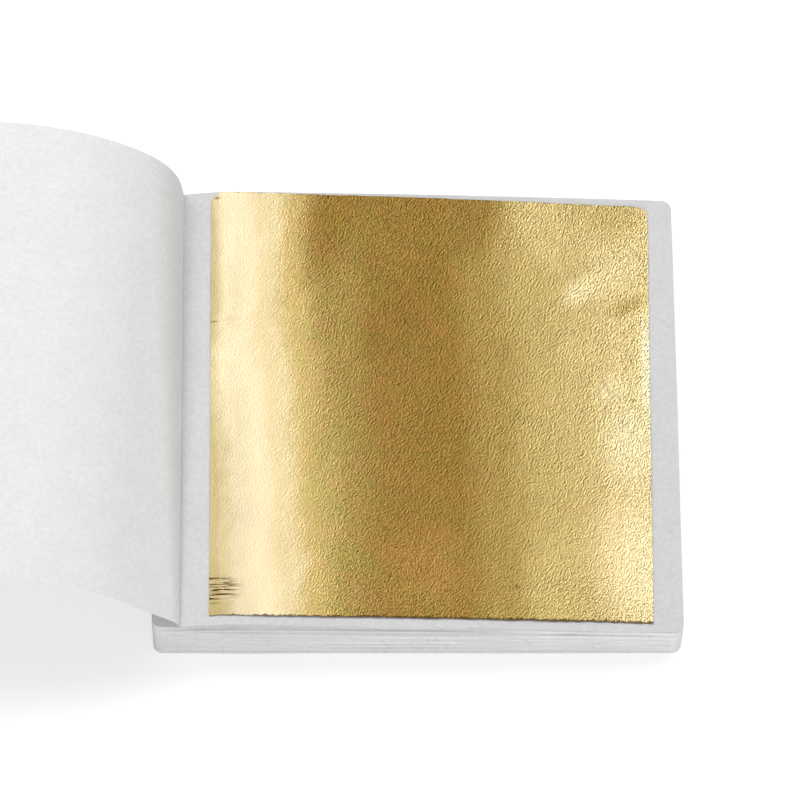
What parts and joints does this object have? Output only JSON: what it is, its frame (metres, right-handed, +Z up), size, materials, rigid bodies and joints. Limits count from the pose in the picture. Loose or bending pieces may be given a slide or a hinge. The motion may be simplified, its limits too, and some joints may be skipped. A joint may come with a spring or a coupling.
{
  "type": "gold leaf booklet",
  "caption": "Open booklet of square imitation gold leaf between thin white paper sheets, glued along the spine margin, with the page above the exposed leaf turned over.",
  "frame": {"origin": "centre of the underside of the block of pages", "axes": "+X from the spine to the fore edge, +Y to the back edge (head) of the pages, +Z up"},
  "size_m": [0.1699, 0.0937, 0.0368],
  "materials": {
    "paper": "matt white interleaf paper with faint grain",
    "leaf": "thin crinkled metal leaf with a fine leathery grain",
    "glue": "clear padding glue, dried white"
  },
  "bodies": {
    "block": {"glue_strips_001_to_010": "glue", "glue_strips_011_to_020": "glue", "glue_strips_021_to_030": "glue", "glue_strips_031_to_040": "glue", "glue_strips_041_to_050": "glue", "glue_strips_051_to_060": "glue", "glue_strips_061_to_070": "glue", "glue_strips_071_to_080": "glue", "glue_strips_081_to_090": "glue", "glue_strips_091_to_100": "glue", "hidden_leaves_001_to_010": "leaf", "hidden_leaves_011_to_020": "leaf", "hidden_leaves_021_to_030": "leaf", "hidden_leaves_031_to_040": "leaf", "hidden_leaves_041_to_050": "leaf", "hidden_leaves_051_to_060": "leaf", "hidden_leaves_061_to_070": "leaf", "hidden_leaves_071_to_080": "leaf", "hidden_leaves_081_to_090": "leaf", "hidden_leaves_091_to_099": "leaf", "open_page": "paper", "sheets_001_to_010": "paper", "sheets_011_to_020": "paper", "sheets_021_to_030": "paper", "sheets_031_to_040": "paper", "sheets_041_to_050": "paper", "sheets_051_to_060": "paper", "sheets_061_to_070": "paper", "sheets_071_to_080": "paper", "sheets_081_to_090": "paper", "sheets_091_to_099": "paper", "turned_page_margin": "paper"},
    "exposed_leaf": {"exposed_leaf": "leaf"},
    "page_strip_01": {"turned_page_strip_01": "paper"},
    "page_strip_02": {"turned_page_strip_02": "paper"},
    "page_strip_03": {"turned_page_strip_03": "paper"},
    "page_strip_04": {"turned_page_strip_04": "paper"},
    "page_strip_05": {"turned_page_strip_05": "paper"},
    "page_strip_06": {"turned_page_strip_06": "paper"},
    "page_strip_07": {"turned_page_strip_07": "paper"}
  },
  "joints": [
    {"name": "page_turn", "type": "hinge", "parent": "block", "child": "page_strip_01", "pos_m": [-0.0426, 0, 0.01149], "axis": [0, -1, 0], "range_deg": [-81, 4]},
    {"name": "page_flex_01", "type": "hinge", "parent": "page_strip_01", "child": "page_strip_02", "pos_m": [-0.04336, 0, 0.01825], "axis": [0.0131, -0.9931, -0.1169], "range_deg": [-48.02, 2.39]},
    {"name": "page_flex_02", "type": "hinge", "parent": "page_strip_02", "child": "page_strip_03", "pos_m": [-0.05391, 0.00043, 0.02773], "axis": [-0.0488, -0.9969, -0.0619], "range_deg": [-28.02, 1.4]},
    {"name": "page_flex_03", "type": "hinge", "parent": "page_strip_03", "child": "page_strip_04", "pos_m": [-0.06241, 0.00091, 0.03197], "axis": [-0.0497, -0.9969, -0.0615], "range_deg": [-15.52, 0.79]},
    {"name": "page_flex_04", "type": "hinge", "parent": "page_strip_04", "child": "page_strip_05", "pos_m": [-0.0729, 0.00168, 0.03401], "axis": [-0.0437, -0.9971, -0.0626], "range_deg": [-17.02, 0.86]},
    {"name": "page_flex_05", "type": "hinge", "parent": "page_strip_05", "child": "page_strip_06", "pos_m": [-0.08531, 0.0028, 0.03271], "axis": [-0.0437, -0.9971, -0.0626], "range_deg": [-11.02, 0.56]},
    {"name": "page_flex_06", "type": "hinge", "parent": "page_strip_06", "child": "page_strip_07", "pos_m": [-0.09937, 0.00428, 0.0284], "axis": [-0.0496, -0.9967, -0.0644], "range_deg": [-7.02, 0.37]},
    {"name": "leaf_slide", "type": "slide", "parent": "block", "child": "exposed_leaf", "axis": [0, -1, 0], "range_m": [0, 0.09]}
  ],
  "couplings": [
    {"joint": "page_flex_01", "follows": "page_turn", "ratio": 0.59259},
    {"joint": "page_flex_02", "follows": "page_turn", "ratio": 0.34568},
    {"joint": "page_flex_03", "follows": "page_turn", "ratio": 0.19136},
    {"joint": "page_flex_04", "follows": "page_turn", "ratio": 0.20988},
    {"joint": "page_flex_05", "follows": "page_turn", "ratio": 0.1358},
    {"joint": "page_flex_06", "follows": "page_turn", "ratio": 0.08642}
  ]
}
